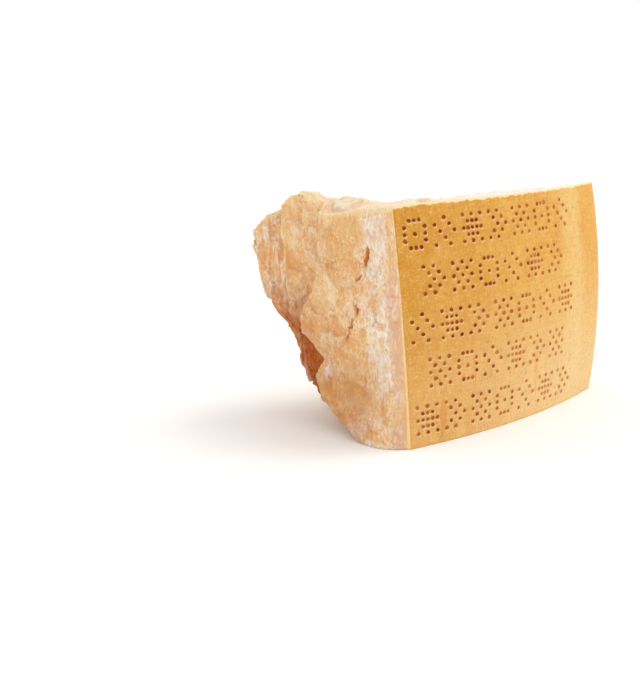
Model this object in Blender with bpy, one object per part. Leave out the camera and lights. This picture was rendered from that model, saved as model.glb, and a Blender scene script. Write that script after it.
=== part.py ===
"""A broken wedge of hard grating cheese, resting on its underside.

The rind is the front face, which looks along -Y and wraps round the right-hand end.
The other faces are torn. +Z is up, and the origin is at the middle of the base of the
solid's box. Lengths are worked in millimetres from the rind's bottom left corner, and
become metres in the mesh.
"""

from itertools import product

import bmesh
import bpy
import numpy as np

# Driving sizes, in millimetres
RIND_WIDTH = 165.0
HEIGHT = 112.9
END_DEPTH = 44.0
END_RADIUS = 15.0
BACK_SWELL = 7.0

# How far back the tip reaches: two slopes up its edge, whichever is the shorter at each height
TIP_DEPTH_TOP = 130.0
TIP_DEPTH_FOOT = 79.0
TIP_TRIM_TOP = 117.5
TIP_TRIM_FOOT = 98.5

# The rind bulges both ways, and leans back at its left end
RIND_BULGE_ACROSS = 9.5
RIND_BULGE_UP_LEFT = 1.0
RIND_BULGE_UP_RIGHT = 5.5
RIND_LEAN_LEFT = 0.11
RIND_LEAN_RIGHT = 0.03

# The underside is flat in front of a crease, and rises behind it to the left
CREASE_START = (-5.0, 28.0)
CREASE_DIRECTION = (0.805, 0.593)
UNDERSIDE_RISE = 0.5

# The top falls a little to the right, and from the rind back to a brow and faster behind it
TOP_TILT = 0.018
TOP_FALL_LEFT = 0.07
TOP_FALL_RIGHT = 0.125
BROW_START = (10.0, 66.0)
BROW_NORMAL = (0.411, 0.911)
FALL_BEHIND_BROW = 0.27
CREST_HEIGHT = 6.4
CREST_MIDDLE = (12.0, 80.0)

# The left face is three overlapping layers of torn cheese
FRONT_LAYER_DEPTH = 56.0
KNUCKLE_REACH = 8.0
KNUCKLE_SWELL = 5.0
KNUCKLE_HEIGHT = 52.0
KNUCKLE_HALF_HEIGHT = 13.0
FOOT_CUT_BACK = 24.0
FOOT_HEIGHT = 15.0
FOOT_SWELL = 9.0
FOOT_SWELL_HEIGHT = 30.0
POCKET_REACH = 3.0
POCKET_HEIGHT = 34.0
LEDGE_REACH = 4.5
LEDGE_HEIGHT = 25.0
SCOOP_DEPTH = 3.0
SCOOP_HEIGHT = 62.0
SECOND_LAYER_SETBACK = 9.0
SECOND_LAYER_TOP = 92.0
SECOND_LAYER_FOOT = 74.0
THIRD_LAYER_SETBACK = 16.0
HOLLOW_SETBACK = 10.0
HOLLOW_TOP = 54.0
HOLLOW_BOTTOM = 34.0
STEP_WIDTH = 2.5

# Tearing in soft lumps and in flat chips, as (size, how far they stand out, seed)
TEARS = ((30.0, 1.6, 11), (9.0, 0.7, 37))
CHIPS = ((14.0, 1.1, 51), (7.0, 0.8, 62))
RIND_CALM = 9.0
FLOOR_CALM = 7.0
EDGE_CALM = 9.0

CELLS_ACROSS, CELLS_DEEP, CELLS_HIGH = 38, 28, 28
LAYER_STATIONS = np.array((0, 11, 14, 19, 21, 28)) / 28.0
MILLIMETRE = 0.001

PASTE_COLOUR = (0.80, 0.56, 0.30, 1.0)
RIND_COLOUR = (0.66, 0.33, 0.07, 1.0)


def smooth_step(value, low, high):
    """0 at low, 1 at high and a smooth rise between them; a fall where low is above high."""
    t = np.clip((value - low) / (high - low), 0.0, 1.0)
    return t * t * (3.0 - 2.0 * t)


def mix(a, b, t):
    return a + (b - a) * t


def arch(t):
    """A parabola that is 0 at both ends of 0 to 1, and 1 half way."""
    return 4.0 * t * (1.0 - t)


def bump(distance, half_width):
    return np.exp(-((distance / half_width) ** 2))


def scramble(cell, seed):
    """A number from -1 to 1 for each whole-numbered cell, always the same for the same seed."""
    key = cell @ np.array((73856093, 19349663, 83492791)) + seed * 7919
    key = ((key ^ (key >> 13)) * 1274126177) & 0x7FFFFFFF
    key = ((key ^ (key >> 15)) * 668265263) & 0x7FFFFFFF
    return (key ^ (key >> 16)) / 0x3FFFFFFF - 1.0


def lumps(points, seed):
    """Smooth noise from -1 to 1 in lumps 1 across."""
    cell = np.floor(points).astype(np.int64)
    part = points - cell
    fade = part * part * (3.0 - 2.0 * part)
    total = np.zeros(len(points))
    for corner in product((0, 1), repeat=3):
        weight = np.prod(np.where(corner, fade, 1.0 - fade), axis=1)
        total += weight * scramble(cell + corner, seed)
    return total


def facets(points, seed):
    """Chips about 1 across, each a flat facet tilted its own way, from about -0.5 to 0.5."""
    cell = np.floor(points).astype(np.int64)
    nearest = np.full(len(points), np.inf)
    height = np.zeros(len(points))
    for step in product((-1, 0, 1), repeat=3):
        home = cell + step
        middle = np.stack([scramble(home, seed + k) for k in range(3)], axis=1) * 0.45 + 0.5
        offset = points - home - middle
        distance = (offset**2).sum(axis=1)
        tilt = np.stack([scramble(home, seed + 7 + k) for k in range(3)], axis=1)
        found = (offset * tilt).sum(axis=1) + 0.35 * scramble(home, seed + 19)
        height = np.where(distance < nearest, found, height)
        nearest = np.minimum(distance, nearest)
    return height


def underside(x, y):
    """Height of the underside over the floor."""
    behind = CREASE_DIRECTION[0] * (y - CREASE_START[1]) - CREASE_DIRECTION[1] * (x - CREASE_START[0])
    return UNDERSIDE_RISE * np.maximum(0.0, behind)


def top(x, y):
    """Height of the torn top: a fall, a brow, a crest on the second layer and a lip on the third."""
    behind_brow = BROW_NORMAL[0] * (x - BROW_START[0]) + BROW_NORMAL[1] * (y - BROW_START[1])
    fall = mix(TOP_FALL_LEFT, TOP_FALL_RIGHT, smooth_step(x, 5.0, 45.0)) * (y - rind(x, HEIGHT))
    height = HEIGHT - TOP_TILT * x - fall - FALL_BEHIND_BROW * np.maximum(0.0, behind_brow)
    crest = CREST_HEIGHT * bump(x - CREST_MIDDLE[0], 17.0) * bump(y - CREST_MIDDLE[1], 16.0)
    third_layer = 0.9 * smooth_step(y + 0.25 * x, 92.0, 96.0) - 0.42 * np.maximum(0.0, y - 103.0)
    worn_edge = 5.0 * np.clip(y / 50.0, 0.0, 1.0) * bump(x, 9.0) * smooth_step(y, 62.0, 54.0)
    return height + crest + third_layer - worn_edge


def rind(x, z):
    """How far back the rind lies at this place, before its end turns the corner."""
    across = np.clip(x / RIND_WIDTH, 0.0, 1.0)
    lean = mix(RIND_LEAN_LEFT, RIND_LEAN_RIGHT, across)
    bulge_up = mix(RIND_BULGE_UP_LEFT, RIND_BULGE_UP_RIGHT, across)
    return lean * z - RIND_BULGE_ACROSS * arch(across) - bulge_up * arch(z / HEIGHT)


def stacked(x, y, w):
    """Points at this place in plan, with w running from the underside to the top."""
    z = mix(underside(x, y), top(x, y), w)
    return np.stack(np.broadcast_arrays(x, y, z), axis=-1)


def half_corner(along):
    """Distance along a face and off it, where its end turns half of the rind's rounded corner."""
    angle = (1.0 - np.clip(along / END_RADIUS, 0.0, 1.0)) * np.pi / 4.0
    turned = END_RADIUS * (1.0 - np.sin(angle))
    return np.where(along < END_RADIUS, turned, along), END_RADIUS * (1.0 - np.cos(angle))


def front_points(u, w):
    """The rind, which turns half of the corner at its right."""
    from_end, off = half_corner((1.0 - u) * RIND_WIDTH)
    x = RIND_WIDTH - from_end
    points = stacked(x, rind(x, HEIGHT), w)
    points[..., 1] = rind(x, points[..., 2]) + off
    return points


def right_points(v, w):
    """The rind's end, which turns the other half of the corner and then runs straight back."""
    from_front, off = half_corner(v * END_DEPTH)
    x = RIND_WIDTH - off
    points = stacked(x, from_front + rind(x, HEIGHT) * (1.0 - v), w)
    points[..., 1] = from_front + rind(x, points[..., 2]) * (1.0 - v)
    return points


def knuckle(z):
    return bump(z - KNUCKLE_HEIGHT, KNUCKLE_HALF_HEIGHT)


def span_progress(v, i):
    """How far v has come through one span of the left face, from 0 to 1."""
    return np.clip((v - LAYER_STATIONS[i]) / (LAYER_STATIONS[i + 1] - LAYER_STATIONS[i]), 0.0, 1.0)


def left_face(v, z):
    """Setback and depth of the left face, where v runs back from the rind by LAYER_STATIONS."""
    rise = z / HEIGHT
    tip = np.minimum(mix(TIP_DEPTH_FOOT, TIP_DEPTH_TOP, rise), mix(TIP_TRIM_FOOT, TIP_TRIM_TOP, rise))
    cut = FOOT_CUT_BACK * np.maximum(0.0, 1.0 - z / FOOT_HEIGHT) ** 2
    first = np.minimum(FRONT_LAYER_DEPTH + KNUCKLE_REACH * knuckle(z), tip - 3.0 * STEP_WIDTH) - cut
    first += LEDGE_REACH * bump(z - LEDGE_HEIGHT, 6.0) - POCKET_REACH * bump(z - POCKET_HEIGHT, 8.0)
    second = np.minimum(mix(SECOND_LAYER_FOOT, SECOND_LAYER_TOP, rise), mix(first, tip, 0.62))
    second = np.maximum(first + 2.0 * STEP_WIDTH, second)
    edges = (rind(0.0, z), first, first + STEP_WIDTH, second, second + STEP_WIDTH, tip)
    t = [span_progress(v, i) for i in range(5)]
    depth = edges[0] + sum((edges[i + 1] - edges[i]) * t[i] for i in range(5))
    hollow = HOLLOW_SETBACK * smooth_step(z, HOLLOW_TOP, HOLLOW_BOTTOM)
    setback = 3.0 * smooth_step(z, 62.0, 100.0) * np.sin(np.pi * t[0])
    setback -= FOOT_SWELL * smooth_step(z, FOOT_SWELL_HEIGHT, 0.0) * np.sin(np.pi * t[0])
    setback -= KNUCKLE_SWELL * knuckle(z) * (t[0] ** 2 - t[1])
    scoop = SCOOP_DEPTH * bump(z - SCOOP_HEIGHT, 15.0)
    crest_swell = 3.0 * smooth_step(z, 68.0, 88.0)
    setback += (SECOND_LAYER_SETBACK + hollow) * t[1] + (scoop - crest_swell) * np.sin(np.pi * t[2])
    setback += (THIRD_LAYER_SETBACK - SECOND_LAYER_SETBACK) * t[3] - 2.0 * np.sin(np.pi * t[4])
    return setback, depth


def left_points(v, w):
    """The torn left face, from the rind back to the tip."""
    z = HEIGHT * w
    for _ in range(8):
        x, y = left_face(v, z)
        z = mix(z, mix(underside(x, y), top(x, y), w), 0.7)
    return stacked(x, y, w)


def back_points(u, w):
    """The torn back face, from the tip to the rind's end."""
    one = np.ones_like(u)
    tip, end = left_points(one, w), right_points(one, w)
    x, y, _ = np.moveaxis(mix(tip, end, u[..., None]), -1, 0)
    swell = BACK_SWELL * arch(u) * (0.5 + 0.5 * arch(mix(0.15, 0.85, w)))
    return stacked(x + BROW_NORMAL[0] * swell, y + BROW_NORMAL[1] * swell, w)


def cap_points(u, v, w):
    """The top or the underside, filled in between the upper or lower edges of the four sides."""
    zero, one = np.zeros_like(u), np.ones_like(u)
    along, back = u[..., None], v[..., None]
    corners = mix(
        mix(front_points(zero, w), front_points(one, w), along),
        mix(back_points(zero, w), back_points(one, w), along),
        back,
    )
    points = mix(front_points(u, w), back_points(u, w), back) - corners
    points += mix(left_points(v, w), right_points(v, w), along)
    return stacked(points[..., 0], points[..., 1], w)


def behind_rind(points):
    """Distance in from the rind, whether in from its front, its end or the rounded corner."""
    x, y, z = np.moveaxis(points, -1, 0)
    from_front, from_end = y - rind(x, z), RIND_WIDTH - x
    in_corner = np.maximum(from_front, from_end) < END_RADIUS
    round_corner = END_RADIUS - np.hypot(END_RADIUS - from_front, END_RADIUS - from_end)
    return np.where(in_corner, round_corner, np.minimum(from_front, from_end))


def edge_calm(points):
    """Nearly 0 along the straight upper edge of the front layer, and 1 away from it."""
    x, y, z = np.moveaxis(points, -1, 0)
    near = bump(x, EDGE_CALM) * bump(z - top(x, y), EDGE_CALM) * smooth_step(y, 64.0, 54.0)
    return 1.0 - 0.8 * near


def torn(points):
    """Moves the points of the torn faces, calm at the rind and never off the floor."""
    calm = smooth_step(behind_rind(points), 0.5, RIND_CALM) * edge_calm(points)
    push = np.zeros_like(points)
    for size, reach, seed in TEARS:
        for axis in range(3):
            push[:, axis] += reach * lumps(points / size, seed + axis)
    push[:, 2] *= smooth_step(points[:, 2], 0.5, FLOOR_CALM)
    moved = points + push * calm[:, None]
    moved[:, 2] = np.maximum(moved[:, 2], 0.0)
    return moved


def chipped(points, normals, is_rind):
    """Lifts and lowers the torn faces along their normals in flat chips with crisp edges."""
    calm = np.where(is_rind, 0.0, smooth_step(behind_rind(points), 0.0, 5.0)) * edge_calm(points)
    calm *= smooth_step(points[:, 2], 0.2, 3.0)
    bend = 1.5 * np.stack([lumps(points / 6.0, seed) for seed in (81, 82, 83)], axis=1)
    relief = sum(reach * facets((points + bend) / size, seed) for size, reach, seed in CHIPS)
    moved = points + normals * (relief * calm)[:, None]
    moved[:, 2] = np.maximum(moved[:, 2], 0.0)
    return moved


def wedge_points(cube):
    """The wedge's own places for points of the unit cube's surface."""
    u, v, w = np.moveaxis(cube, -1, 0)
    points = cap_points(u, v, w)
    back, left, right, front = v == 1.0, u == 0.0, u == 1.0, v == 0.0
    points[back] = back_points(u[back], w[back])
    points[left] = left_points(v[left], w[left])
    points[right] = right_points(v[right], w[right])
    points[front] = front_points(u[front], w[front])
    is_rind = front | right
    return np.where(is_rind[:, None], points, torn(points)), is_rind


def unit_cube(cells):
    """A cube from 0 to 1 with its edges cut into the given numbers of cells."""
    mesh = bmesh.new()
    bmesh.ops.create_cube(mesh, size=1.0)
    bmesh.ops.translate(mesh, verts=mesh.verts, vec=(0.5, 0.5, 0.5))
    for axis, count in enumerate(cells):
        along = [e for e in mesh.edges if abs((e.verts[1].co - e.verts[0].co)[axis]) > 0.5]
        bmesh.ops.subdivide_edges(mesh, edges=along, cuts=count - 1, use_grid_fill=True)
    return mesh


def simple_material(name, colour, roughness):
    material = bpy.data.materials.new(name)
    material.use_nodes = True
    shader = material.node_tree.nodes["Principled BSDF"]
    shader.inputs["Base Color"].default_value = colour
    shader.inputs["Roughness"].default_value = roughness
    shader.inputs["Metallic"].default_value = 0.0
    return material


def on_rind(face):
    """Whether all of a face of the unit cube is on its front or its right-hand end."""
    front = all(v.co.y < 1e-6 for v in face.verts)
    return front or all(v.co.x > 1.0 - 1e-6 for v in face.verts)


def place(mesh, points):
    """Puts the vertices at the points and returns their normals."""
    for vert, point in zip(mesh.verts, points):
        vert.co = point
    mesh.normal_update()
    return np.array([v.normal for v in mesh.verts])


def make_wedge(collection):
    mesh = unit_cube((CELLS_ACROSS, CELLS_DEEP, CELLS_HIGH))
    for face in mesh.faces:
        face.material_index = int(on_rind(face))
        face.smooth = True
    points, is_rind = wedge_points(np.array([v.co for v in mesh.verts]).round(6))
    points = chipped(points, place(mesh, points), is_rind)
    low, high = points.min(axis=0), points.max(axis=0)
    base_middle = np.array(((low[0] + high[0]) / 2.0, (low[1] + high[1]) / 2.0, low[2]))
    place(mesh, (points - base_middle) * MILLIMETRE)
    data = bpy.data.meshes.new("cheese_wedge")
    mesh.to_mesh(data)
    mesh.free()
    data.materials.append(simple_material("paste", PASTE_COLOUR, 0.75))
    data.materials.append(simple_material("rind", RIND_COLOUR, 0.5))
    data.set_sharp_from_angle(angle=0.7)
    wedge = bpy.data.objects.new("cheese_wedge", data)
    collection.objects.link(wedge)
    return wedge


def main():
    for old in list(bpy.data.objects):
        bpy.data.objects.remove(old)
    collection = bpy.data.collections.new("cheese")
    bpy.context.scene.collection.children.link(collection)
    make_wedge(collection)


main()
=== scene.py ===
"""A broken wedge of hard grating cheese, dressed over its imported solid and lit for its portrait.

Shapes are worked in millimetres from the rind's bottom left corner, as the solid's are, and
moved to the solid's own origin, in metres, when the mesh is made.
"""

from itertools import product
from math import cos, radians, sin

import bmesh
import bpy
import numpy as np
from mathutils import Matrix, Vector


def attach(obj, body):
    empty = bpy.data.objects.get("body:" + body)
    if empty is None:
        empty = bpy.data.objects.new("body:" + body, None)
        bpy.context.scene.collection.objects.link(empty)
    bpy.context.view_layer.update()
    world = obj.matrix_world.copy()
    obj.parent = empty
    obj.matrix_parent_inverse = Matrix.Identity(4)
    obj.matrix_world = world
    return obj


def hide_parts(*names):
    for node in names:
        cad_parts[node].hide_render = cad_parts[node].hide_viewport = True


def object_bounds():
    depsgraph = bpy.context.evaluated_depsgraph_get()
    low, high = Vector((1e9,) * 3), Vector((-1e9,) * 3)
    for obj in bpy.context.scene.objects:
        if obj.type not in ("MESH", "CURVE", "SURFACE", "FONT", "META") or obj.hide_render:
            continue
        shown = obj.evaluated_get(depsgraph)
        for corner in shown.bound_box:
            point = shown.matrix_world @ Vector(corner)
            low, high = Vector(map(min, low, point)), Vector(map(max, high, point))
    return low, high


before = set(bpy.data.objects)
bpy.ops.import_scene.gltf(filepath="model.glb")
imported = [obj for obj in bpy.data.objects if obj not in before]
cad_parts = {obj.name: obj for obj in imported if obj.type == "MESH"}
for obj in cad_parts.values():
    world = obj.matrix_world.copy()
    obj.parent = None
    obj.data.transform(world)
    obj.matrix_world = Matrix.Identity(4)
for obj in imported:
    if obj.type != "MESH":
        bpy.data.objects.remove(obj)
solid_box = [list(corner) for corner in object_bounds()]

# The solid's driving sizes, in millimetres
RIND_WIDTH = 165.0
HEIGHT = 112.9
END_DEPTH = 44.0
END_RADIUS = 15.0
TIP_DEPTH_TOP = 130.0
TIP_DEPTH_FOOT = 79.0
TIP_TRIM_TOP = 117.5
TIP_TRIM_FOOT = 98.5
BACK_SWELL = 7.0
RIND_BULGE_ACROSS = 9.5
RIND_BULGE_UP_LEFT = 1.0
RIND_BULGE_UP_RIGHT = 5.5
RIND_LEAN_LEFT = 0.11
RIND_LEAN_RIGHT = 0.03
CREASE_START = (-5.0, 28.0)
CREASE_DIRECTION = (0.805, 0.593)
UNDERSIDE_RISE = 0.5
TOP_TILT = 0.018
TOP_FALL_LEFT = 0.07
TOP_FALL_RIGHT = 0.125
BROW_START = (10.0, 66.0)
BROW_NORMAL = (0.411, 0.911)
FALL_BEHIND_BROW = 0.27
CREST_HEIGHT = 6.4
CREST_MIDDLE = (12.0, 80.0)
FRONT_LAYER_DEPTH = 56.0
KNUCKLE_REACH = 8.0
KNUCKLE_SWELL = 5.0
KNUCKLE_HEIGHT = 52.0
KNUCKLE_HALF_HEIGHT = 13.0
FOOT_CUT_BACK = 24.0
FOOT_HEIGHT = 15.0
FOOT_SWELL = 9.0
FOOT_SWELL_HEIGHT = 30.0
POCKET_REACH = 3.0
POCKET_HEIGHT = 34.0
LEDGE_REACH = 4.5
LEDGE_HEIGHT = 25.0
SCOOP_DEPTH = 3.0
SCOOP_HEIGHT = 62.0
SECOND_LAYER_SETBACK = 9.0
SECOND_LAYER_TOP = 92.0
SECOND_LAYER_FOOT = 74.0
THIRD_LAYER_SETBACK = 16.0
HOLLOW_SETBACK = 10.0
HOLLOW_TOP = 54.0
HOLLOW_BOTTOM = 34.0
STEP_WIDTH = 2.5
TEARS = ((30.0, 1.6, 11), (9.0, 0.7, 37))
CHIPS = ((14.0, 1.1, 51), (7.0, 0.8, 62))
RIND_CALM = 9.0
FLOOR_CALM = 7.0
EDGE_CALM = 9.0
LAYER_STATIONS = np.array((0, 11, 14, 19, 21, 28)) / 28.0
MILLIMETRE = 0.001

# The corner that lengths start from, seen from the middle of the solid's base
START_CORNER = Vector((-78.148, -51.921, 0.0)) * MILLIMETRE

# The dressed mesh: cells of the first cube, then how many times each is halved
CELLS = (28, 34, 34)
HALVINGS = 2

# Chips smaller than the solid's, as (size, how far they stand out, seed)
SMALL_CHIPS = ((3.6, 0.45, 72), (1.9, 0.3, 75))

# Slits in the left face, as (place behind the rind, height, half length, half width, lean from upright)
SLITS = (
    (29.0, 87.0, 5.2, 0.95, -8.0),
    (32.5, 76.5, 2.4, 0.5, -35.0),
    (31.8, 62.0, 2.8, 0.9, 5.0),
    (34.2, 54.8, 4.2, 0.5, -24.0),
    (37.2, 48.2, 2.4, 0.5, -30.0),
)

# How deep the grooves down the far layer and the slits go, and the height of the terraces on the top
GROOVE_DEPTH = 0.9
SLIT_DEPTH = 1.8
TERRACE_HEIGHT = 1.9

# The view: its turn from the rind's face and its dip, in degrees, its focal length and the picture's
# height, in pixels, and where it is taken from
VIEW_TURN = -49.3
VIEW_DIP = 13.0
FOCAL_LENGTH = 1550.0
PICTURE_HEIGHT = 691.0
VIEW_PLACE = (-548.7, -416.5, 208.3)
SENSOR_WIDTH = 36.0

# The sky's warm tint, its strength on the cheese and its strength to the eye, and a broad sun with its
# spread in degrees
SKY_COLOUR = (1.0, 0.945, 0.875)
SKY_LIGHT = 1.03
SKY_SEEN = 1.08
SUN_STRENGTH = 1.05
SUN_SPREAD = 40.0
SUN_COMES_FROM = (1.03, -0.43, 1.5)


def smooth_step(value, low, high):
    """0 at low, 1 at high and a smooth rise between them; a fall where low is above high."""
    t = np.clip((value - low) / (high - low), 0.0, 1.0)
    return t * t * (3.0 - 2.0 * t)


def mix(a, b, t):
    return a + (b - a) * t


def arch(t):
    """A parabola that is 0 at both ends of 0 to 1, and 1 half way."""
    return 4.0 * t * (1.0 - t)


def bump(distance, half_width):
    return np.exp(-((distance / half_width) ** 2))


def scramble(cell, seed):
    """A number from -1 to 1 for each whole-numbered cell, always the same for the same seed."""
    key = cell @ np.array((73856093, 19349663, 83492791)) + seed * 7919
    key = ((key ^ (key >> 13)) * 1274126177) & 0x7FFFFFFF
    key = ((key ^ (key >> 15)) * 668265263) & 0x7FFFFFFF
    return (key ^ (key >> 16)) / 0x3FFFFFFF - 1.0


def lumps(points, seed):
    """Smooth noise from -1 to 1 in lumps 1 across."""
    cell = np.floor(points).astype(np.int64)
    part = points - cell
    fade = part * part * (3.0 - 2.0 * part)
    total = np.zeros(len(points))
    for corner in product((0, 1), repeat=3):
        weight = np.prod(np.where(corner, fade, 1.0 - fade), axis=1)
        total += weight * scramble(cell + corner, seed)
    return total


def facets(points, seed):
    """Chips about 1 across, each a flat facet tilted its own way, from about -0.5 to 0.5."""
    cell = np.floor(points).astype(np.int64)
    nearest = np.full(len(points), np.inf)
    height = np.zeros(len(points))
    for step in product((-1, 0, 1), repeat=3):
        home = cell + step
        middle = np.stack([scramble(home, seed + k) for k in range(3)], axis=1) * 0.45 + 0.5
        offset = points - home - middle
        distance = (offset**2).sum(axis=1)
        tilt = np.stack([scramble(home, seed + 7 + k) for k in range(3)], axis=1)
        found = (offset * tilt).sum(axis=1) + 0.35 * scramble(home, seed + 19)
        height = np.where(distance < nearest, found, height)
        nearest = np.minimum(distance, nearest)
    return height


def underside(x, y):
    """Height of the underside over the floor."""
    behind = CREASE_DIRECTION[0] * (y - CREASE_START[1]) - CREASE_DIRECTION[1] * (x - CREASE_START[0])
    return UNDERSIDE_RISE * np.maximum(0.0, behind)


def top(x, y):
    """Height of the torn top: a fall, a brow, a crest on the second layer and a lip on the third."""
    behind_brow = BROW_NORMAL[0] * (x - BROW_START[0]) + BROW_NORMAL[1] * (y - BROW_START[1])
    fall = mix(TOP_FALL_LEFT, TOP_FALL_RIGHT, smooth_step(x, 5.0, 45.0)) * (y - rind(x, HEIGHT))
    height = HEIGHT - TOP_TILT * x - fall - FALL_BEHIND_BROW * np.maximum(0.0, behind_brow)
    crest = CREST_HEIGHT * bump(x - CREST_MIDDLE[0], 17.0) * bump(y - CREST_MIDDLE[1], 16.0)
    third_layer = 0.9 * smooth_step(y + 0.25 * x, 92.0, 96.0) - 0.42 * np.maximum(0.0, y - 103.0)
    worn_edge = 5.0 * np.clip(y / 50.0, 0.0, 1.0) * bump(x, 9.0) * smooth_step(y, 62.0, 54.0)
    return height + crest + third_layer - worn_edge


def rind(x, z):
    """How far back the rind lies at this place, before its end turns the corner."""
    across = np.clip(x / RIND_WIDTH, 0.0, 1.0)
    lean = mix(RIND_LEAN_LEFT, RIND_LEAN_RIGHT, across)
    bulge_up = mix(RIND_BULGE_UP_LEFT, RIND_BULGE_UP_RIGHT, across)
    return lean * z - RIND_BULGE_ACROSS * arch(across) - bulge_up * arch(z / HEIGHT)


def stacked(x, y, w):
    """Points at this place in plan, with w running from the underside to the top."""
    z = mix(underside(x, y), top(x, y), w)
    return np.stack(np.broadcast_arrays(x, y, z), axis=-1)


def half_corner(along):
    """Distance along a face and off it, where its end turns half of the rind's rounded corner."""
    angle = (1.0 - np.clip(along / END_RADIUS, 0.0, 1.0)) * np.pi / 4.0
    turned = END_RADIUS * (1.0 - np.sin(angle))
    return np.where(along < END_RADIUS, turned, along), END_RADIUS * (1.0 - np.cos(angle))


def front_points(u, w):
    """The rind, which turns half of the corner at its right."""
    from_end, off = half_corner((1.0 - u) * RIND_WIDTH)
    x = RIND_WIDTH - from_end
    points = stacked(x, rind(x, HEIGHT) + off, w)
    points[..., 1] = rind(x, points[..., 2]) + off
    return points


def right_points(v, w):
    """The rind's end, which turns the other half of the corner and then runs straight back."""
    from_front, off = half_corner(v * END_DEPTH)
    x = RIND_WIDTH - off
    points = stacked(x, from_front + rind(x, HEIGHT) * (1.0 - v), w)
    points[..., 1] = from_front + rind(x, points[..., 2]) * (1.0 - v)
    return points


def knuckle(z):
    return bump(z - KNUCKLE_HEIGHT, KNUCKLE_HALF_HEIGHT)


def span_progress(v, i):
    """How far v has come through one span of the left face, from 0 to 1."""
    return np.clip((v - LAYER_STATIONS[i]) / (LAYER_STATIONS[i + 1] - LAYER_STATIONS[i]), 0.0, 1.0)


def left_face(v, z):
    """Setback and depth of the left face, where v runs back from the rind by LAYER_STATIONS."""
    rise = z / HEIGHT
    tip = np.minimum(mix(TIP_DEPTH_FOOT, TIP_DEPTH_TOP, rise), mix(TIP_TRIM_FOOT, TIP_TRIM_TOP, rise))
    cut = FOOT_CUT_BACK * np.maximum(0.0, 1.0 - z / FOOT_HEIGHT) ** 2
    first = np.minimum(FRONT_LAYER_DEPTH + KNUCKLE_REACH * knuckle(z), tip - 3.0 * STEP_WIDTH) - cut
    first += LEDGE_REACH * bump(z - LEDGE_HEIGHT, 6.0) - POCKET_REACH * bump(z - POCKET_HEIGHT, 8.0)
    second = np.minimum(mix(SECOND_LAYER_FOOT, SECOND_LAYER_TOP, rise), mix(first, tip, 0.62))
    second = np.maximum(first + 2.0 * STEP_WIDTH, second)
    edges = (rind(0.0, z), first, first + STEP_WIDTH, second, second + STEP_WIDTH, tip)
    t = [span_progress(v, i) for i in range(5)]
    depth = edges[0] + sum((edges[i + 1] - edges[i]) * t[i] for i in range(5))
    hollow = HOLLOW_SETBACK * smooth_step(z, HOLLOW_TOP, HOLLOW_BOTTOM)
    setback = 3.0 * smooth_step(z, 62.0, 100.0) * np.sin(np.pi * t[0])
    setback -= FOOT_SWELL * smooth_step(z, FOOT_SWELL_HEIGHT, 0.0) * np.sin(np.pi * t[0])
    setback -= KNUCKLE_SWELL * knuckle(z) * (t[0] ** 2 - t[1])
    scoop = SCOOP_DEPTH * bump(z - SCOOP_HEIGHT, 15.0)
    crest_swell = 3.0 * smooth_step(z, 68.0, 88.0)
    setback += (SECOND_LAYER_SETBACK + hollow) * t[1] + (scoop - crest_swell) * np.sin(np.pi * t[2])
    setback += (THIRD_LAYER_SETBACK - SECOND_LAYER_SETBACK) * t[3] - 2.0 * np.sin(np.pi * t[4])
    return setback, depth


def left_points(v, w):
    """The torn left face, from the rind back to the tip."""
    z = HEIGHT * w
    for _ in range(8):
        x, y = left_face(v, z)
        z = mix(z, mix(underside(x, y), top(x, y), w), 0.7)
    return stacked(x, y, w)


def back_points(u, w):
    """The torn back face, from the tip to the rind's end."""
    one = np.ones_like(u)
    tip, end = left_points(one, w), right_points(one, w)
    x, y, _ = np.moveaxis(mix(tip, end, u[..., None]), -1, 0)
    swell = BACK_SWELL * arch(u) * (0.5 + 0.5 * arch(mix(0.15, 0.85, w)))
    return stacked(x + BROW_NORMAL[0] * swell, y + BROW_NORMAL[1] * swell, w)


def cap_points(u, v, w):
    """The top or the underside, filled in between the upper or lower edges of the four sides."""
    zero, one = np.zeros_like(u), np.ones_like(u)
    along, back = u[..., None], v[..., None]
    corners = mix(
        mix(front_points(zero, w), front_points(one, w), along),
        mix(back_points(zero, w), back_points(one, w), along),
        back,
    )
    points = mix(front_points(u, w), back_points(u, w), back) - corners
    points += mix(left_points(v, w), right_points(v, w), along)
    return stacked(points[..., 0], points[..., 1], w)


def behind_rind(points):
    """Distance in from the rind, whether in from its front, its end or the rounded corner."""
    x, y, z = np.moveaxis(points, -1, 0)
    from_front, from_end = y - rind(x, z), RIND_WIDTH - x
    in_corner = np.maximum(from_front, from_end) < END_RADIUS
    round_corner = END_RADIUS - np.hypot(END_RADIUS - from_front, END_RADIUS - from_end)
    return np.where(in_corner, round_corner, np.minimum(from_front, from_end))


def edge_calm(points):
    """Nearly 0 along the straight upper edge of the front layer, and 1 away from it."""
    x, y, z = np.moveaxis(points, -1, 0)
    near = bump(x, EDGE_CALM) * bump(z - top(x, y), EDGE_CALM) * smooth_step(y, 64.0, 54.0)
    return 1.0 - 0.8 * near


def torn(points):
    """Moves the points of the torn faces, calm at the rind and never off the floor."""
    calm = smooth_step(behind_rind(points), 0.5, RIND_CALM) * edge_calm(points)
    push = np.zeros_like(points)
    for size, reach, seed in TEARS:
        for axis in range(3):
            push[:, axis] += reach * lumps(points / size, seed + axis)
    push[:, 2] *= smooth_step(points[:, 2], 0.5, FLOOR_CALM)
    moved = points + push * calm[:, None]
    moved[:, 2] = np.maximum(moved[:, 2], 0.0)
    return moved


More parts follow.
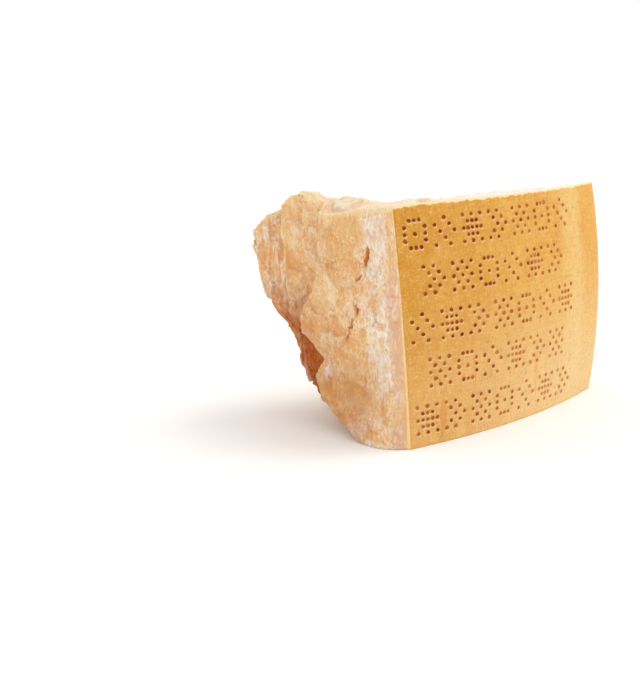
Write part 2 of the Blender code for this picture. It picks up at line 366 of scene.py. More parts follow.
def chipped(points, normals, is_rind):
    """The torn faces lifted and lowered along their normals in flat chips with crisp edges, and how far."""
    calm = np.where(is_rind, 0.0, smooth_step(behind_rind(points), 0.0, 5.0)) * edge_calm(points)
    calm *= smooth_step(points[:, 2], 0.2, 3.0)
    bend = 1.5 * np.stack([lumps(points / 6.0, seed) for seed in (81, 82, 83)], axis=1)
    relief = calm * sum(reach * facets((points + bend) / size, seed) for size, reach, seed in CHIPS)
    moved = points + normals * relief[:, None]
    moved[:, 2] = np.maximum(moved[:, 2], 0.0)
    return moved, relief


def wedge_points(cube):
    """The wedge's own places for points of the unit cube's surface."""
    u, v, w = np.moveaxis(cube, -1, 0)
    points = cap_points(u, v, w)
    back, left, right, front = v == 1.0, u == 0.0, u == 1.0, v == 0.0
    points[back] = back_points(u[back], w[back])
    points[left] = left_points(v[left], w[left])
    points[right] = right_points(v[right], w[right])
    points[front] = front_points(u[front], w[front])
    is_rind = front | right
    return np.where(is_rind[:, None], points, torn(points)), is_rind


def unit_cube(cells):
    """A cube from 0 to 1 with its edges cut into the given numbers of cells."""
    mesh = bmesh.new()
    bmesh.ops.create_cube(mesh, size=1.0)
    bmesh.ops.translate(mesh, verts=mesh.verts, vec=(0.5, 0.5, 0.5))
    for axis, count in enumerate(cells):
        along = [e for e in mesh.edges if abs((e.verts[1].co - e.verts[0].co)[axis]) > 0.5]
        bmesh.ops.subdivide_edges(mesh, edges=along, cuts=count - 1, use_grid_fill=True)
    return mesh


def fine_cube():
    """The unit cube's mesh with each cell halved again and again, and its points."""
    coarse = unit_cube(CELLS)
    data = bpy.data.meshes.new("wedge cells")
    coarse.to_mesh(data)
    coarse.free()
    holder = bpy.data.objects.new("wedge cells", data)
    bpy.context.scene.collection.objects.link(holder)
    halve = holder.modifiers.new("halve", "SUBSURF")
    halve.subdivision_type = "SIMPLE"
    halve.levels = halve.render_levels = HALVINGS
    graph = bpy.context.evaluated_depsgraph_get()
    fine = bpy.data.meshes.new_from_object(holder.evaluated_get(graph))
    bpy.data.objects.remove(holder)
    bpy.data.meshes.remove(data)
    return fine, read_points(fine).round(6)


def read_points(mesh):
    flat = np.empty(len(mesh.vertices) * 3, np.float32)
    mesh.vertices.foreach_get("co", flat)
    return flat.reshape(-1, 3).astype(np.float64)


def read_normals(mesh):
    flat = np.empty(len(mesh.vertices) * 3, np.float32)
    mesh.vertex_normals.foreach_get("vector", flat)
    return flat.reshape(-1, 3).astype(np.float64)


def write_points(mesh, points):
    mesh.vertices.foreach_set("co", points.astype(np.float32).ravel())
    mesh.update()


def add_number(mesh, name, values):
    layer = mesh.attributes.new(name, "FLOAT", "POINT")
    layer.data.foreach_set("value", values.astype(np.float32))


def slit_reach(points, slit):
    """Distance from the middle of a slit in the left face, 1 at its rim, with a ragged outline."""
    back, height, half_length, half_width, lean = slit
    y, z = points[:, 1] - back, points[:, 2] - height
    along = z * cos(radians(lean)) + y * sin(radians(lean))
    off = y * cos(radians(lean)) - z * sin(radians(lean)) + 0.8 * lumps(points / 2.2, 71)
    return np.hypot(along / half_length, off / half_width)


def terraces(points):
    """Low terraces at the left of the top, in front of the crest, from -0.5 to 0.5."""
    x, y = points[:, 0], points[:, 1]
    place = smooth_step(x, 95.0, 45.0) * smooth_step(y, 26.0, 42.0) * smooth_step(y, 86.0, 72.0)
    steps = lumps(points * (0.045, 0.1, 0.0), 131) + 0.2 * lumps(points / 5.0, 132)
    return place * (smooth_step(steps, -0.06, 0.06) - 0.5)


def fine_tearing(points, cube, rough):
    """Relief finer than the solid's: chips as rough as is asked, grooves, slits and terraces."""
    on_left = cube[:, 0] == 0.0
    bend = np.stack([lumps(points / 3.0, seed) for seed in (84, 85, 86)], axis=1)
    chips = sum(reach * facets((points + 0.9 * bend) / size, seed) for size, reach, seed in SMALL_CHIPS)
    relief = rough * chips
    back = on_left * smooth_step(cube[:, 1], LAYER_STATIONS[2], LAYER_STATIONS[4])
    groove = np.abs(lumps(points * (0.12, 0.3, 0.035), 95))
    relief -= GROOVE_DEPTH * back * (1.0 - groove) ** 3
    for slit in SLITS:
        relief -= SLIT_DEPTH * on_left * smooth_step(slit_reach(points, slit), 1.5, 0.5)
    return relief + TERRACE_HEIGHT * terraces(points) * (cube[:, 2] == 1.0)


def powder(points, cube):
    """How thickly the white powder of the crushed cheese lies, from 0 to 1."""
    y, z = points[:, 1], points[:, 2]
    inward = behind_rind(points)
    by_rind = smooth_step(inward, 3.0, 9.0) * smooth_step(inward, 30.0, 15.0) * smooth_step(z, 0.0, 45.0)
    from_stripe = np.abs((y - 24.0) * 0.73 - (z - 43.0) * 0.69)
    stripe = bump(from_stripe, 4.0) * smooth_step(y, 4.0, 8.0) * smooth_step(y, 30.0, 24.0)
    under_knuckle = bump(y - 49.0, 8.0) * bump(z - 30.0, 6.0)
    foot = 0.75 * smooth_step(z, 20.0, 6.0) * smooth_step(y, 1.0, 5.0) * smooth_step(y, 56.0, 30.0)
    # More white flecks on the far layer, partly painted light where it is lit from behind
    far_layer = smooth_step(cube[:, 1], LAYER_STATIONS[3], LAYER_STATIONS[4])
    flecked = 0.26 + 0.16 * lumps(points / 11.0, 101) + 0.2 * far_layer
    on_left = cube[:, 0] == 0.0
    patches = np.maximum.reduce([by_rind, stripe, under_knuckle, foot]) * on_left
    patchy = 0.72 + 0.45 * lumps(points / 6.0, 103) + 0.25 * lumps(points / 2.5, 104)
    return np.clip(np.maximum(patches * patchy, flecked), 0.0, 1.0)


def crumble(points):
    """How crumbly the left face is, from 0 to 1: most about the slits, least in a smooth patch low down."""
    y, z = points[:, 1], points[:, 2]
    about_slits = bump(y - 27.0, 16.0) * bump(z - 66.0, 32.0)
    smooth_patch = bump(y - 27.0, 17.0) * bump(z - 22.0, 15.0)
    return np.clip(0.5 + 0.5 * about_slits - 0.45 * smooth_patch, 0.0, 1.0)


def shade(points, cube):
    """How much painted shade a place on the left face gets, from 0 to 1, painted in browner colour: most in
    the pocket, then under the knuckle, low down, beside the step, further back and below the top.
    """
    v, y, z = cube[:, 1], points[:, 1], points[:, 2]
    behind_front = smooth_step(v, LAYER_STATIONS[1], LAYER_STATIONS[2])
    pocket = behind_front * smooth_step(z + 4.0 * lumps(points / 9.0, 141), 62.0, 44.0)
    pocket *= mix(1.0, 0.75, smooth_step(v, LAYER_STATIONS[4], 1.0))
    under_knuckle = behind_front * bump(z - 52.0, 16.0)
    behind_step = behind_front * smooth_step(v, LAYER_STATIONS[3], LAYER_STATIONS[2])
    behind_step *= smooth_step(z, 92.0, 70.0)
    low = smooth_step(z, 52.0, 18.0) * smooth_step(y, 8.0, 30.0)
    far = smooth_step(y, 28.0, 60.0) * bump(z - 48.0, 24.0)
    layers = smooth_step(v, LAYER_STATIONS[0], LAYER_STATIONS[2]) * smooth_step(z, 112.0, 96.0)
    parts = (pocket, 0.5 * under_knuckle, 0.42 * low, 0.3 * behind_step, 0.3 * far, 0.15 * layers)
    return np.maximum.reduce(parts) * (cube[:, 0] == 0.0)


def dress_wedge(paste, rind_skin):
    """The whole wedge as one closed mesh, with the numbers that its materials read."""
    mesh, cube = fine_cube()
    mesh.materials.clear()
    mesh.materials.append(paste)
    mesh.materials.append(rind_skin)
    points, is_rind = wedge_points(cube)
    write_points(mesh, points)
    points, chips = chipped(points, read_normals(mesh), is_rind)
    write_points(mesh, points)
    dusted = powder(points, cube)
    calm = np.where(is_rind, 0.0, smooth_step(behind_rind(points), 0.0, 5.0))
    calm *= smooth_step(points[:, 2], 0.2, 3.0)
    relief = fine_tearing(points, cube, mix(0.5, 1.15, dusted)) * calm
    points = points + read_normals(mesh) * relief[:, None]
    start = np.array(START_CORNER) / MILLIMETRE
    low, high = (np.array(corner) / MILLIMETRE - start for corner in solid_box)
    points = np.clip(points, low, high)
    write_points(mesh, points * MILLIMETRE + np.array(START_CORNER))
    inward = np.where(is_rind, 0.0, behind_rind(points))
    under_edge = top(points[:, 0], points[:, 1]) - points[:, 2]
    upward = read_normals(mesh)[:, 2]
    for name, values in (
        ("behind_rind", inward),
        ("relief", relief + 0.5 * chips),
        ("left_face", (cube[:, 0] == 0.0) * 1.0),
        ("powder", dusted),
        # The painted shade that the paste's colour reads
        ("shade", shade(points, cube)),
        ("crumble", crumble(points)),
        ("open_top", smooth_step(upward, 0.35, 0.8)),
        ("under_edge", under_edge),
    ):
        add_number(mesh, name, values)
    flags = np.array([on_rind(face, cube) for face in mesh.polygons])
    mesh.polygons.foreach_set("material_index", flags.astype(np.int32))
    mesh.polygons.foreach_set("use_smooth", np.ones(len(flags), bool))
    return mesh


def on_rind(face, cube):
    """Whether all of a face of the unit cube is on its front or its right-hand end."""
    corners = cube[list(face.vertices)]
    return bool((corners[:, 1] == 0.0).all() or (corners[:, 0] == 1.0).all())


class Tree:
    """Adds nodes to a node tree and links what is handed to them."""

    def __init__(self, tree):
        self.tree = tree

    def link(self, source, socket):
        self.tree.links.new(source, socket)

    def add(self, kind, links=None, values=None, **settings):
        node = self.tree.nodes.new(kind)
        for name, value in settings.items():
            setattr(node, name, value)
        for socket, value in (values or {}).items():
            node.inputs[socket].default_value = value
        for socket, source in (links or {}).items():
            self.link(source, node.inputs[socket])
        return node

    def math(self, operation, *terms, clamp=False):
        node = self.add("ShaderNodeMath", operation=operation, use_clamp=clamp)
        for i, term in enumerate(terms):
            if isinstance(term, (int, float)):
                node.inputs[i].default_value = term
            else:
                self.link(term, node.inputs[i])
        return node.outputs[0]

    def vector(self, operation, *terms, out="Vector"):
        node = self.add("ShaderNodeVectorMath", operation=operation)
        for i, term in enumerate(terms):
            if isinstance(term, tuple):
                node.inputs[i].default_value = term
            elif isinstance(term, (int, float)):
                node.inputs["Scale"].default_value = term
            else:
                self.link(term, node.inputs[i])
        return node.outputs[out]

    def ramp(self, source, low, high, start=0.0, end=1.0, smooth=True):
        node = self.add("ShaderNodeMapRange", {"Value": source})
        node.interpolation_type = "SMOOTHSTEP" if smooth else "LINEAR"
        for name, value in (("From Min", low), ("From Max", high), ("To Min", start), ("To Max", end)):
            node.inputs[name].default_value = value
        return node.outputs["Result"]

    def blend(self, factor, first, second, mode="MIX"):
        """One colour mixed over another; a colour is a socket or its red, green and blue."""
        node = self.add("ShaderNodeMix", data_type="RGBA", blend_type=mode)
        for slot, value in ((0, factor), (6, first), (7, second)):
            if isinstance(value, (int, float)):
                node.inputs[slot].default_value = value
            elif isinstance(value, tuple):
                node.inputs[slot].default_value = (*value, 1.0)
            else:
                self.link(value, node.inputs[slot])
        return node.outputs[2]

    def noise(self, vector, scale, detail=3.0, roughness=0.55, distortion=0.0):
        values = {"Scale": scale, "Detail": detail, "Roughness": roughness, "Distortion": distortion}
        return self.add("ShaderNodeTexNoise", {"Vector": vector}, values).outputs["Fac"]

    def attribute(self, name):
        return self.add("ShaderNodeAttribute", attribute_name=name).outputs["Fac"]


def colour(red, green, blue):
    """A colour given as 0 to 255 on screen, in the linear numbers that shaders take."""
    linear = []
    for part in (red, green, blue):
        part /= 255.0
        linear.append(part / 12.92 if part <= 0.04045 else ((part + 0.055) / 1.055) ** 2.4)
    return tuple(linear)


def new_group(name, inputs, outputs):
    """An empty shader group, its Tree, and its inner inputs and outputs."""
    group = bpy.data.node_groups.new(name, "ShaderNodeTree")
    for label, kind, start in inputs:
        socket = group.interface.new_socket(label, in_out="INPUT", socket_type=kind)
        if start is not None:
            socket.default_value = start
    for label, kind in outputs:
        group.interface.new_socket(label, in_out="OUTPUT", socket_type=kind)
    tree = Tree(group)
    return group, tree, tree.add("NodeGroupInput").outputs, tree.add("NodeGroupOutput").inputs


def use_group(tree, group, links, values=None):
    node = tree.add("ShaderNodeGroup", node_tree=group)
    for socket, value in (values or {}).items():
        node.inputs[socket].default_value = value
    for socket, source in links.items():
        tree.link(source, node.inputs[socket])
    return node.outputs


def torn_crumb_group():
    """Tilted granules in two sizes with a fine crumb over them, as a height, and a shade for each granule."""
    group, tree, inner, out = new_group(
        "torn crumb",
        (("Vector", "NodeSocketVector", None), ("Granules", "NodeSocketFloat", 420.0)),
        (("Height", "NodeSocketFloat"), ("Granule", "NodeSocketFloat")),
    )
    total = tree.math("MULTIPLY", tree.noise(inner["Vector"], 1500.0, 4.0, 0.6), 0.7)
    for ratio, strength in ((2.3, 0.45), (1.0, 1.0)):
        scaled = tree.math("MULTIPLY", inner["Granules"], ratio)
        cells = tree.add("ShaderNodeTexVoronoi", {"Vector": inner["Vector"], "Scale": scaled})
        offset = tree.vector("SUBTRACT", inner["Vector"], cells.outputs["Position"])
        tilt = tree.vector("SUBTRACT", cells.outputs["Color"], (0.5, 0.5, 0.5))
        facet = tree.math("MULTIPLY", tree.vector("DOT_PRODUCT", offset, tilt, out="Value"), scaled)
        total = tree.math("ADD", total, tree.math("MULTIPLY", facet, strength))
    tree.link(total, out["Height"])
    granule = tree.add("ShaderNodeSeparateColor", {"Color": cells.outputs["Color"]}).outputs["Red"]
    tree.link(granule, out["Granule"])
    return group


def mottle_group():
    """Cloudy patches at two sizes, from 0 to 1 about a middle of 0.5."""
    group, tree, inner, out = new_group(
        "mottle",
        (("Vector", "NodeSocketVector", None), ("Patches", "NodeSocketFloat", 40.0)),
        (("Broad", "NodeSocketFloat"), ("Close", "NodeSocketFloat")),
    )
    for name, ratio in (("Broad", 1.0), ("Close", 4.5)):
        scaled = tree.math("MULTIPLY", inner["Patches"], ratio)
        cloud = tree.add("ShaderNodeTexNoise", {"Vector": inner["Vector"], "Scale": scaled}, {"Detail": 4.0})
        tree.link(tree.ramp(cloud.outputs["Fac"], 0.32, 0.68), out[name])
    return group


def pin_rows_group():
    """Rows of pin-pricked ornaments over the rind: stars, double arrows, checks, targets and slanting bars.

    The place is in millimetres along the rind and up it. Each ornament is five dots by five, and every
    second row has one ornament fewer and stands half an ornament further along.
    """
    group, tree, inner, out = new_group(
        "pin rows",
        (
            ("Along", "NodeSocketFloat", 0.0),
            ("Up", "NodeSocketFloat", 0.0),
            ("Wobble", "NodeSocketFloat", 0.0),
            ("Column Pitch", "NodeSocketFloat", 2.9),
            ("Line Pitch", "NodeSocketFloat", 3.1),
            ("Dot Radius", "NodeSocketFloat", 1.1),
            ("Row Pitch", "NodeSocketFloat", 21.5),
            ("Ornaments", "NodeSocketFloat", 7.0),
        ),
        (("Dots", "NodeSocketFloat"), ("Rims", "NodeSocketFloat"), ("Tint", "NodeSocketFloat")),
    )
    math = tree.math

    def split(value, pitch):
        """The number of the step that a value is in, and how far it is into the step."""
        number = math("FLOOR", math("DIVIDE", value, pitch))
        return number, math("SUBTRACT", value, math("MULTIPLY", number, pitch))

    def shifted_reach(right, rise):
        """Distance from a point beside the dot's middle, 1 at the dot's rim."""
        across = math("SUBTRACT", x, math("ADD", math("MULTIPLY", inner["Column Pitch"], 0.5), right))
        across = math("MULTIPLY", across, 0.8)
        above = math("SUBTRACT", y, math("ADD", math("MULTIPLY", inner["Line Pitch"], 0.5), rise))
        reach = math("SQRT", math("ADD", math("MULTIPLY", across, across), math("MULTIPLY", above, above)))
        return math("DIVIDE", math("ADD", reach, inner["Wobble"]), inner["Dot Radius"])

    row, up = split(math("SUBTRACT", inner["Up"], 5.0), inner["Row Pitch"])
    odd = math("MODULO", math("ABSOLUTE", row), 2.0)
    ornament_pitch = math("MULTIPLY", inner["Column Pitch"], 6.0)
    shift = math("ADD", math("MULTIPLY", math("MULTIPLY", odd, 0.5), ornament_pitch), 3.5)
    place, along = split(math("SUBTRACT", inner["Along"], shift), ornament_pitch)
    column, x = split(along, inner["Column Pitch"])
    line, y = split(up, inner["Line Pitch"])
    inside = math("MULTIPLY", math("LESS_THAN", column, 4.5), math("LESS_THAN", line, 4.5))
    last = math("SUBTRACT", math("SUBTRACT", inner["Ornaments"], odd), 0.5)
    whole = math("MULTIPLY", math("GREATER_THAN", place, -0.5), math("LESS_THAN", place, last))
    whole = math("MULTIPLY", whole, math("GREATER_THAN", row, -0.5))
    from_middle = math("ABSOLUTE", math("SUBTRACT", column, 2.0))
    from_waist = math("ABSOLUTE", math("SUBTRACT", line, 2.0))
    cross = math("LESS_THAN", math("MINIMUM", from_middle, from_waist), 0.5)
    star = math("MAXIMUM", cross, math("COMPARE", from_middle, from_waist, 0.4))
    slant = math("ADD", column, from_waist)
    even = math("LESS_THAN", math("MODULO", slant, 2.0), 0.5)
    arrows = math("MULTIPLY", even, math("COMPARE", slant, 3.0, 1.2))
    checks = math("LESS_THAN", math("MODULO", math("ADD", column, line), 2.0), 0.5)
    outer = math("COMPARE", math("MAXIMUM", from_middle, from_waist), 2.0, 0.4)
    spread = math("ADD", from_middle, from_waist)
    target = math("MULTIPLY", outer, math("LESS_THAN", spread, 3.5))
    target = math("MAXIMUM", target, math("LESS_THAN", spread, 0.5))
    bars = math("LESS_THAN", math("MODULO", math("ADD", column, line), 3.0), 0.5)
    choice = math("MODULO", math("ADD", place, math("MULTIPLY", row, 2.0)), 5.0)
    lit = 0.0
    for number, shape in enumerate((star, arrows, checks, target, bars)):
        lit = math("ADD", lit, math("MULTIPLY", shape, math("COMPARE", choice, float(number), 0.4)))
    lit = math("MULTIPLY", lit, math("MULTIPLY", inside, whole))
    grid = tree.add("ShaderNodeCombineXYZ", {
        "X": math("ADD", column, math("MULTIPLY", place, 7.0)),
        "Y": math("ADD", line, math("MULTIPLY", row, 9.0)),
    })
    dice = tree.add("ShaderNodeTexWhiteNoise", {"Vector": grid.outputs["Vector"]})
    size = tree.ramp(dice.outputs["Color"], 0.0, 1.0, 1.2, 0.9, smooth=False)
    dot = math("MULTIPLY", tree.ramp(math("MULTIPLY", shifted_reach(0.0, 0.0), size), 1.25, 0.5), lit)
    # A painted highlight on the lower right of each dot's rim
    rim = math("MULTIPLY", tree.ramp(math("MULTIPLY", shifted_reach(0.4, -0.4), size), 1.45, 0.9), lit)
    tree.link(dot, out["Dots"])
    tree.link(math("SUBTRACT", rim, dot, clamp=True), out["Rims"])
    tree.link(dice.outputs["Value"], out["Tint"])
    return group


def new_material(name, **plain):
    """A material with its Principled shader's plain numbers set, and its Tree."""
    material = bpy.data.materials.new(name)
    material.use_nodes = True
    shader = material.node_tree.nodes["Principled BSDF"]
    for socket, value in plain.items():
        shader.inputs[socket.replace("_", " ")].default_value = value
    return material, Tree(material.node_tree), shader


def from_corner(tree):
    """Object coordinates counted from the rind's bottom left corner, in metres."""
    place = tree.add("ShaderNodeTexCoord").outputs["Object"]
    moved = tree.add("ShaderNodeMapping", {"Vector": place}, {"Location": tuple(-START_CORNER)})
    return moved.outputs["Vector"]


def in_millimetres(tree, place):
    parts = tree.add("ShaderNodeSeparateXYZ", {"Vector": tree.vector("SCALE", place, 1000.0)}).outputs
    return parts["X"], parts["Y"], parts["Z"]


def slit_mask(tree, place):
    """The insides of the slits, where painted shade goes and the bump dips, with outlines crisper than the
    mesh can give them.
    """
    _, y, z = in_millimetres(tree, place)
    ragged = tree.math("MULTIPLY", tree.math("SUBTRACT", tree.noise(place, 640.0, 4.0, 0.75), 0.5), 4.2)
    mask = 0.0
    for back, height, half_length, half_width, lean in SLITS:
        dy, dz = tree.math("SUBTRACT", y, back), tree.math("SUBTRACT", z, height)
        turn = cos(radians(lean)), sin(radians(lean))
        along = tree.math("ADD", tree.math("MULTIPLY", dz, turn[0]), tree.math("MULTIPLY", dy, turn[1]))
        off = tree.math("SUBTRACT", tree.math("MULTIPLY", dy, turn[0]), tree.math("MULTIPLY", dz, turn[1]))
        along = tree.math("DIVIDE", along, half_length)
        off = tree.math("DIVIDE", tree.math("ADD", off, ragged), half_width)
        reach = tree.math("ADD", tree.math("MULTIPLY", along, along), tree.math("MULTIPLY", off, off))
        mask = tree.math("MAXIMUM", mask, tree.ramp(reach, 1.2, 0.5))
    return tree.math("MULTIPLY", mask, tree.attribute("left_face"))


def paste_material(crumb, mottle):
    """Torn cheese: cloudy straw yellow, crumbly in places, powdered white, with painted shade in its recesses
    and painted light on its top and raised edges.
    """
    material, tree, shader = new_material(
        "torn cheese",
        Subsurface_Weight=0.5,
        Subsurface_Scale=0.002,
        Subsurface_Radius=(1.0, 0.8, 0.6),
        Specular_IOR_Level=0.1,
    )
    place = from_corner(tree)
    math, blend, ramp = tree.math, tree.blend, tree.ramp
    grains = use_group(tree, crumb, {"Vector": place}, {"Granules": 520.0})
    clouds = use_group(tree, mottle, {"Vector": place}, {"Patches": 34.0})
    behind, relief = tree.attribute("behind_rind"), tree.attribute("relief")
    powder_lies = tree.attribute("powder")
    strands = tree.noise(tree.vector("MULTIPLY", place, (1.0, 1.0, 0.36)), 720.0, 6.0, 0.72, 0.8)

    # Clouds of straw yellow with darker strands
    paste = blend(clouds["Broad"], colour(237, 208, 156), colour(226, 184, 126))
    paste = blend(math("MULTIPLY", clouds["Close"], 0.35), paste, colour(242, 212, 146))
    paste = blend(math("MULTIPLY", grains["Granule"], 0.35), paste, colour(222, 168, 106))
    paste = blend(math("MULTIPLY", ramp(strands, 0.47, 0.35), 0.6), paste, colour(220, 158, 94))

    # Crumb in light specks and dark pits, and a few white crystals
    speckle = tree.noise(tree.vector("MULTIPLY", place, (1.0, 1.0, 0.5)), 1300.0, 3.0, 0.65)
    crumbly = math("MULTIPLY", ramp(clouds["Close"], 0.25, 0.75, 0.4, 1.0), tree.attribute("crumble"))
    paste = blend(math("MULTIPLY", ramp(speckle, 0.52, 0.64), crumbly), paste, colour(255, 242, 218))
    pits = math("MULTIPLY", ramp(speckle, 0.46, 0.34), math("MULTIPLY", crumbly, 0.7))
    paste = blend(pits, paste, colour(214, 144, 76))
    crystals = tree.add("ShaderNodeTexVoronoi", {"Vector": place}, {"Scale": 260.0})
    chosen = tree.add("ShaderNodeSeparateColor", {"Color": crystals.outputs["Color"]}).outputs["Green"]
    tiny = ramp(math("ADD", crystals.outputs["Distance"], math("MULTIPLY", speckle, 0.2)), 0.24, 0.18)
    paste = blend(math("MULTIPLY", tiny, ramp(chosen, 0.6, 0.9, 0.0, 0.8)), paste, colour(255, 250, 242))

    # Painted shade in the hollows and painted highlights on the raised edges, and the white powder of the
    # crushed cheese, thinner in the hollows
    paste = blend(math("MULTIPLY", ramp(relief, 0.0, -0.7), 0.5), paste, colour(230, 156, 82))
    paste = blend(math("MULTIPLY", ramp(relief, 0.1, 0.6), 0.4), paste, colour(254, 240, 210))
    flecks = math("MULTIPLY", ramp(strands, 0.46, 0.57), ramp(powder_lies, 0.05, 0.7))
    flecks = math("MULTIPLY", flecks, ramp(relief, -0.6, 0.1, 0.25, 1.0))
    paste = blend(math("MULTIPLY", flecks, 0.95), paste, colour(246, 240, 238))
    drift = math("MULTIPLY", ramp(powder_lies, 0.35, 1.0), 0.45)
    paste = blend(drift, paste, colour(240, 227, 215))

    # The dry pink band behind the rind and the rind's own thin rim
    along, _, up = in_millimetres(tree, place)
    band = math("MULTIPLY", ramp(behind, 9.5, 6.0), ramp(strands, 0.62, 0.46, 0.2, 0.85))
    band = math("MULTIPLY", band, ramp(clouds["Broad"], 0.25, 0.75, 1.0, 0.35))
    band = math("MULTIPLY", band, ramp(up, 92.0, 72.0, 0.3, 1.0))
    paste = blend(band, paste, colour(222, 178, 148))
    rim = math("MULTIPLY", ramp(behind, 1.5, 0.9), ramp(up, 85.0, 45.0, 0.1, 0.75))
    paste = blend(rim, paste, colour(248, 216, 144))

    # The top in painted light: cream, paler where it faces up and towards the right; with the paler edge
    # under it and fine cracks at its left
    under_top = math("MULTIPLY", ramp(tree.attribute("under_edge"), 4.0, 0.5), tree.attribute("left_face"))
    paste = blend(math("MULTIPLY", under_top, 0.5), paste, colour(246, 226, 172))
    top_light = math("MULTIPLY", tree.attribute("open_top"), ramp(along, 5.0, 110.0, 0.5, 0.92))
    cream = blend(ramp(along, 15.0, 70.0), colour(224, 222, 212), colour(234, 230, 226))
    paste = blend(top_light, paste, cream)
    cracks = math("MULTIPLY", ramp(strands, 0.5, 0.38), tree.attribute("open_top"))
    paste = blend(math("MULTIPLY", cracks, ramp(along, 60.0, 0.0, 0.1, 0.4)), paste, colour(218, 178, 118))

    # Painted shade, brown, in the recesses, low down and further back, and darker orange painted shade inside
    # the slits
    recess_shade = math("MULTIPLY", tree.attribute("shade"), ramp(strands, 0.4, 0.62, 1.0, 0.88))
    paste = blend(recess_shade, paste, blend(clouds["Close"], colour(168, 76, 10), colour(184, 98, 24)))
    slits = slit_mask(tree, place)
    paste = blend(math("MULTIPLY", slits, 0.9), paste, colour(204, 118, 40))

    tree.link(paste, shader.inputs["Base Color"])
    rough = ramp(grains["Granule"], 0.0, 1.0, 0.48, 0.72, smooth=False)
    tree.link(rough, shader.inputs["Roughness"])
    height = math("ADD", math("MULTIPLY", grains["Height"], 0.7), math("MULTIPLY", strands, 1.6))
    height = math("MULTIPLY", height, ramp(behind, 1.0, 10.0, 0.3, 1.0))
    height = math("MULTIPLY", height, ramp(powder_lies, 0.15, 0.7, 0.6, 1.2))
    height = math("SUBTRACT", height, math("MULTIPLY", slits, 1.5))
    bumps = tree.add("ShaderNodeBump", {"Height": height}, {"Strength": 0.42, "Distance": 0.0008})
    tree.link(bumps.outputs["Normal"], shader.inputs["Normal"])
    return material


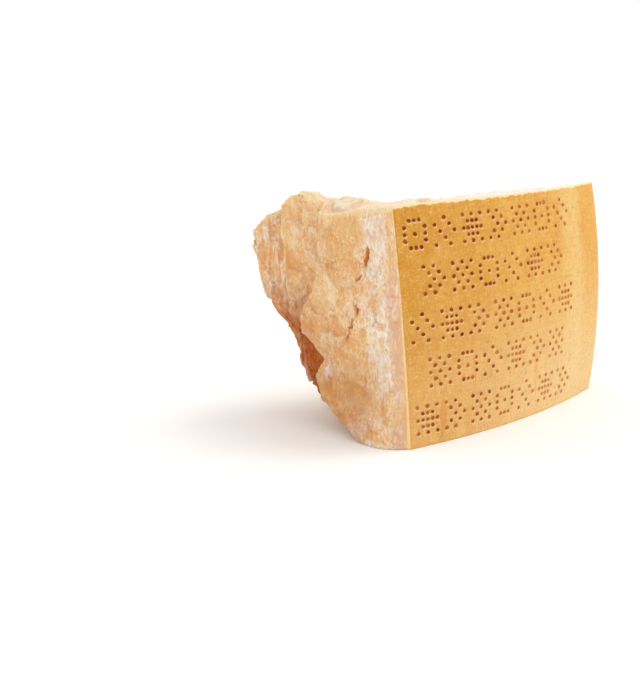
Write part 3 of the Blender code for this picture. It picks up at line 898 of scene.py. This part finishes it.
def rind_material(mottle, pin_rows):
    """Amber rind with a cloth's grain, rusty pin dots and a frayed upper edge, with painted light: paler to
    the right, a highlight band near the end, paler low down and highlights by the pins.
    """
    material, tree, shader = new_material(
        "rind",
        Specular_IOR_Level=0.16,
        Subsurface_Weight=0.1,
        Subsurface_Scale=0.003,
        Subsurface_Radius=(1.0, 0.45, 0.15),
    )
    place = from_corner(tree)
    math, blend, ramp = tree.math, tree.blend, tree.ramp
    x, _, z = in_millimetres(tree, place)
    clouds = use_group(tree, mottle, {"Vector": place}, {"Patches": 22.0})

    # Amber, lighter to the right partly as painted light, a painted highlight band near the end with more
    # orange past it, and painted bounce light from the floor low down
    base = blend(ramp(x, 0.0, 115.0), colour(203, 142, 44), colour(218, 165, 72))
    base = blend(math("MULTIPLY", clouds["Broad"], 0.35), base, colour(212, 146, 60))
    base = blend(math("MULTIPLY", clouds["Close"], 0.25), base, colour(236, 190, 110))
    end_highlight = math("MULTIPLY", ramp(x, 104.0, 127.0), ramp(x, 140.0, 130.0))
    base = blend(math("MULTIPLY", end_highlight, 0.6), base, colour(232, 200, 130))
    base = blend(math("MULTIPLY", ramp(x, 131.0, 139.0), 0.6), base, colour(226, 168, 78))
    # Painted bounce light from the floor: paler low down, more so to the right
    low = math("MULTIPLY", ramp(z, 85.0, 0.0), ramp(x, 0.0, 120.0, 0.3, 0.8))
    base = blend(low, base, colour(236, 206, 152))

    # Stains, and the grain that the cheese's cloth has left
    stains = tree.noise(tree.vector("MULTIPLY", place, (1.0, 1.0, 0.25)), 75.0, 3.0, 0.6)
    base = blend(math("MULTIPLY", ramp(stains, 0.58, 0.72), 0.4), base, colour(208, 124, 46))
    threads = tree.noise(tree.vector("MULTIPLY", place, (0.14, 1.0, 1.0)), 1150.0, 2.0)
    threads = math("ADD", threads, tree.noise(tree.vector("MULTIPLY", place, (1.0, 1.0, 0.14)), 1150.0, 2.0))
    grit = tree.noise(place, 950.0, 3.0, 0.65)
    cloth = math("ADD", math("MULTIPLY", threads, 0.28), math("MULTIPLY", grit, 0.44))
    base = blend(math("MULTIPLY", ramp(cloth, 0.49, 0.38), 0.38), base, colour(182, 112, 36))
    base = blend(math("MULTIPLY", ramp(cloth, 0.51, 0.62), 0.35), base, colour(246, 212, 140))

    # Rusty pin dots with dark cores and painted highlights on the lower right of each dot's rim, which fade
    # to the right
    wobble = math("MULTIPLY", math("SUBTRACT", tree.noise(place, 700.0, 1.0), 0.5), 0.7)
    pins = use_group(tree, pin_rows, {"Along": x, "Up": z, "Wobble": wobble})
    pin_highlights = math("MULTIPLY", pins["Rims"], ramp(x, 130.0, 10.0, 0.15, 0.5))
    base = blend(pin_highlights, base, colour(252, 222, 170))
    fade = math("ADD", ramp(x, 25.0, 120.0, 0.0, 0.5), ramp(z, 100.0, 15.0, 0.0, 0.3))
    fade = math("ADD", fade, math("MULTIPLY", pins["Tint"], 0.4))
    worn = ramp(clouds["Close"], 0.0, 1.0, 1.0, 0.75)
    rust = blend(fade, colour(190, 88, 28), colour(214, 130, 60))
    base = blend(math("MULTIPLY", pins["Dots"], worn), base, rust)
    core = math("MULTIPLY", ramp(pins["Dots"], 0.4, 1.0), ramp(fade, 0.1, 1.0, 0.95, 0.2))
    base = blend(math("MULTIPLY", core, worn), base, colour(106, 32, 3))

    # The frayed upper edge
    fringe = math("MULTIPLY", tree.noise(place, 210.0, 5.0, 0.65), -3.4)
    frayed = math("ADD", tree.attribute("under_edge"), fringe)
    base = blend(math("MULTIPLY", ramp(frayed, -0.3, -1.1), 0.8), base, colour(252, 232, 186))

    tree.link(base, shader.inputs["Base Color"])
    rough = ramp(cloth, 0.35, 0.65, 0.42, 0.56, smooth=False)
    rough = math("ADD", rough, math("MULTIPLY", pins["Dots"], 0.4))
    tree.link(rough, shader.inputs["Roughness"])
    height = math("SUBTRACT", math("MULTIPLY", cloth, 0.8), pins["Dots"])
    relief = tree.add("ShaderNodeBump", {"Height": height}, {"Strength": 0.7, "Distance": 0.0007})
    tree.link(relief.outputs["Normal"], shader.inputs["Normal"])
    return material


def floor_material():
    material, tree, shader = new_material("studio floor", Roughness=0.6, Specular_IOR_Level=0.2)
    place = tree.add("ShaderNodeTexCoord").outputs["Object"]
    faint = tree.blend(tree.noise(place, 3.0), (0.905, 0.935, 0.98), (0.915, 0.945, 0.99))
    tree.link(faint, shader.inputs["Base Color"])
    return material


def lay_floor():
    mesh = bmesh.new()
    bmesh.ops.create_grid(mesh, x_segments=8, y_segments=8, size=6.0)
    data = bpy.data.meshes.new("floor")
    mesh.to_mesh(data)
    mesh.free()
    data.materials.append(floor_material())
    floor = bpy.data.objects.new("floor", data)
    bpy.context.scene.collection.objects.link(floor)


def set_lights():
    """A white studio: a soft even sky, and a broad sun from the right that throws the shadow to the left."""
    world = bpy.data.worlds.new("studio")
    bpy.context.scene.world = world
    world.use_nodes = True
    tree = Tree(world.node_tree)
    sky = world.node_tree.nodes["Background"]
    seen = tree.add("ShaderNodeLightPath").outputs["Is Camera Ray"]
    tree.link(tree.blend(seen, SKY_COLOUR, (1.0, 1.0, 1.0)), sky.inputs["Color"])
    tree.link(tree.ramp(seen, 0.0, 1.0, SKY_LIGHT, SKY_SEEN, smooth=False), sky.inputs["Strength"])
    lamp = bpy.data.lights.new("broad sun", "SUN")
    lamp.energy = SUN_STRENGTH
    lamp.angle = radians(SUN_SPREAD)
    sun = bpy.data.objects.new("broad sun", lamp)
    sun.rotation_euler = Vector(SUN_COMES_FROM).to_track_quat("Z", "Y").to_euler()
    bpy.context.scene.collection.objects.link(sun)


def set_camera():
    """The photograph's view, from the left of the rind and a little above it."""
    turn, dip = radians(VIEW_TURN), radians(VIEW_DIP)
    forward = Vector((-sin(turn) * cos(dip), cos(turn) * cos(dip), -sin(dip)))
    right = Vector((cos(turn), sin(turn), 0.0))
    up = right.cross(forward)
    lens = bpy.data.cameras.new("portrait")
    lens.sensor_width = SENSOR_WIDTH
    lens.lens = FOCAL_LENGTH / PICTURE_HEIGHT * SENSOR_WIDTH
    camera = bpy.data.objects.new("portrait", lens)
    place = START_CORNER + Vector(VIEW_PLACE) * MILLIMETRE
    facing = Matrix((right, up, -forward)).transposed().to_4x4()
    camera.matrix_world = Matrix.Translation(place) @ facing
    bpy.context.scene.collection.objects.link(camera)
    bpy.context.scene.camera = camera


def main():
    bpy.context.scene.view_settings.view_transform = "Standard"
    crumb, mottle, pin_rows = torn_crumb_group(), mottle_group(), pin_rows_group()
    mesh = dress_wedge(paste_material(crumb, mottle), rind_material(mottle, pin_rows))
    mesh.name = "dressed wedge"
    wedge = bpy.data.objects.new("wedge_with_rind", mesh)
    bpy.context.scene.collection.objects.link(wedge)
    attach(wedge, "root")
    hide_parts("cheese_wedge")
    lay_floor()
    set_lights()
    set_camera()


main()
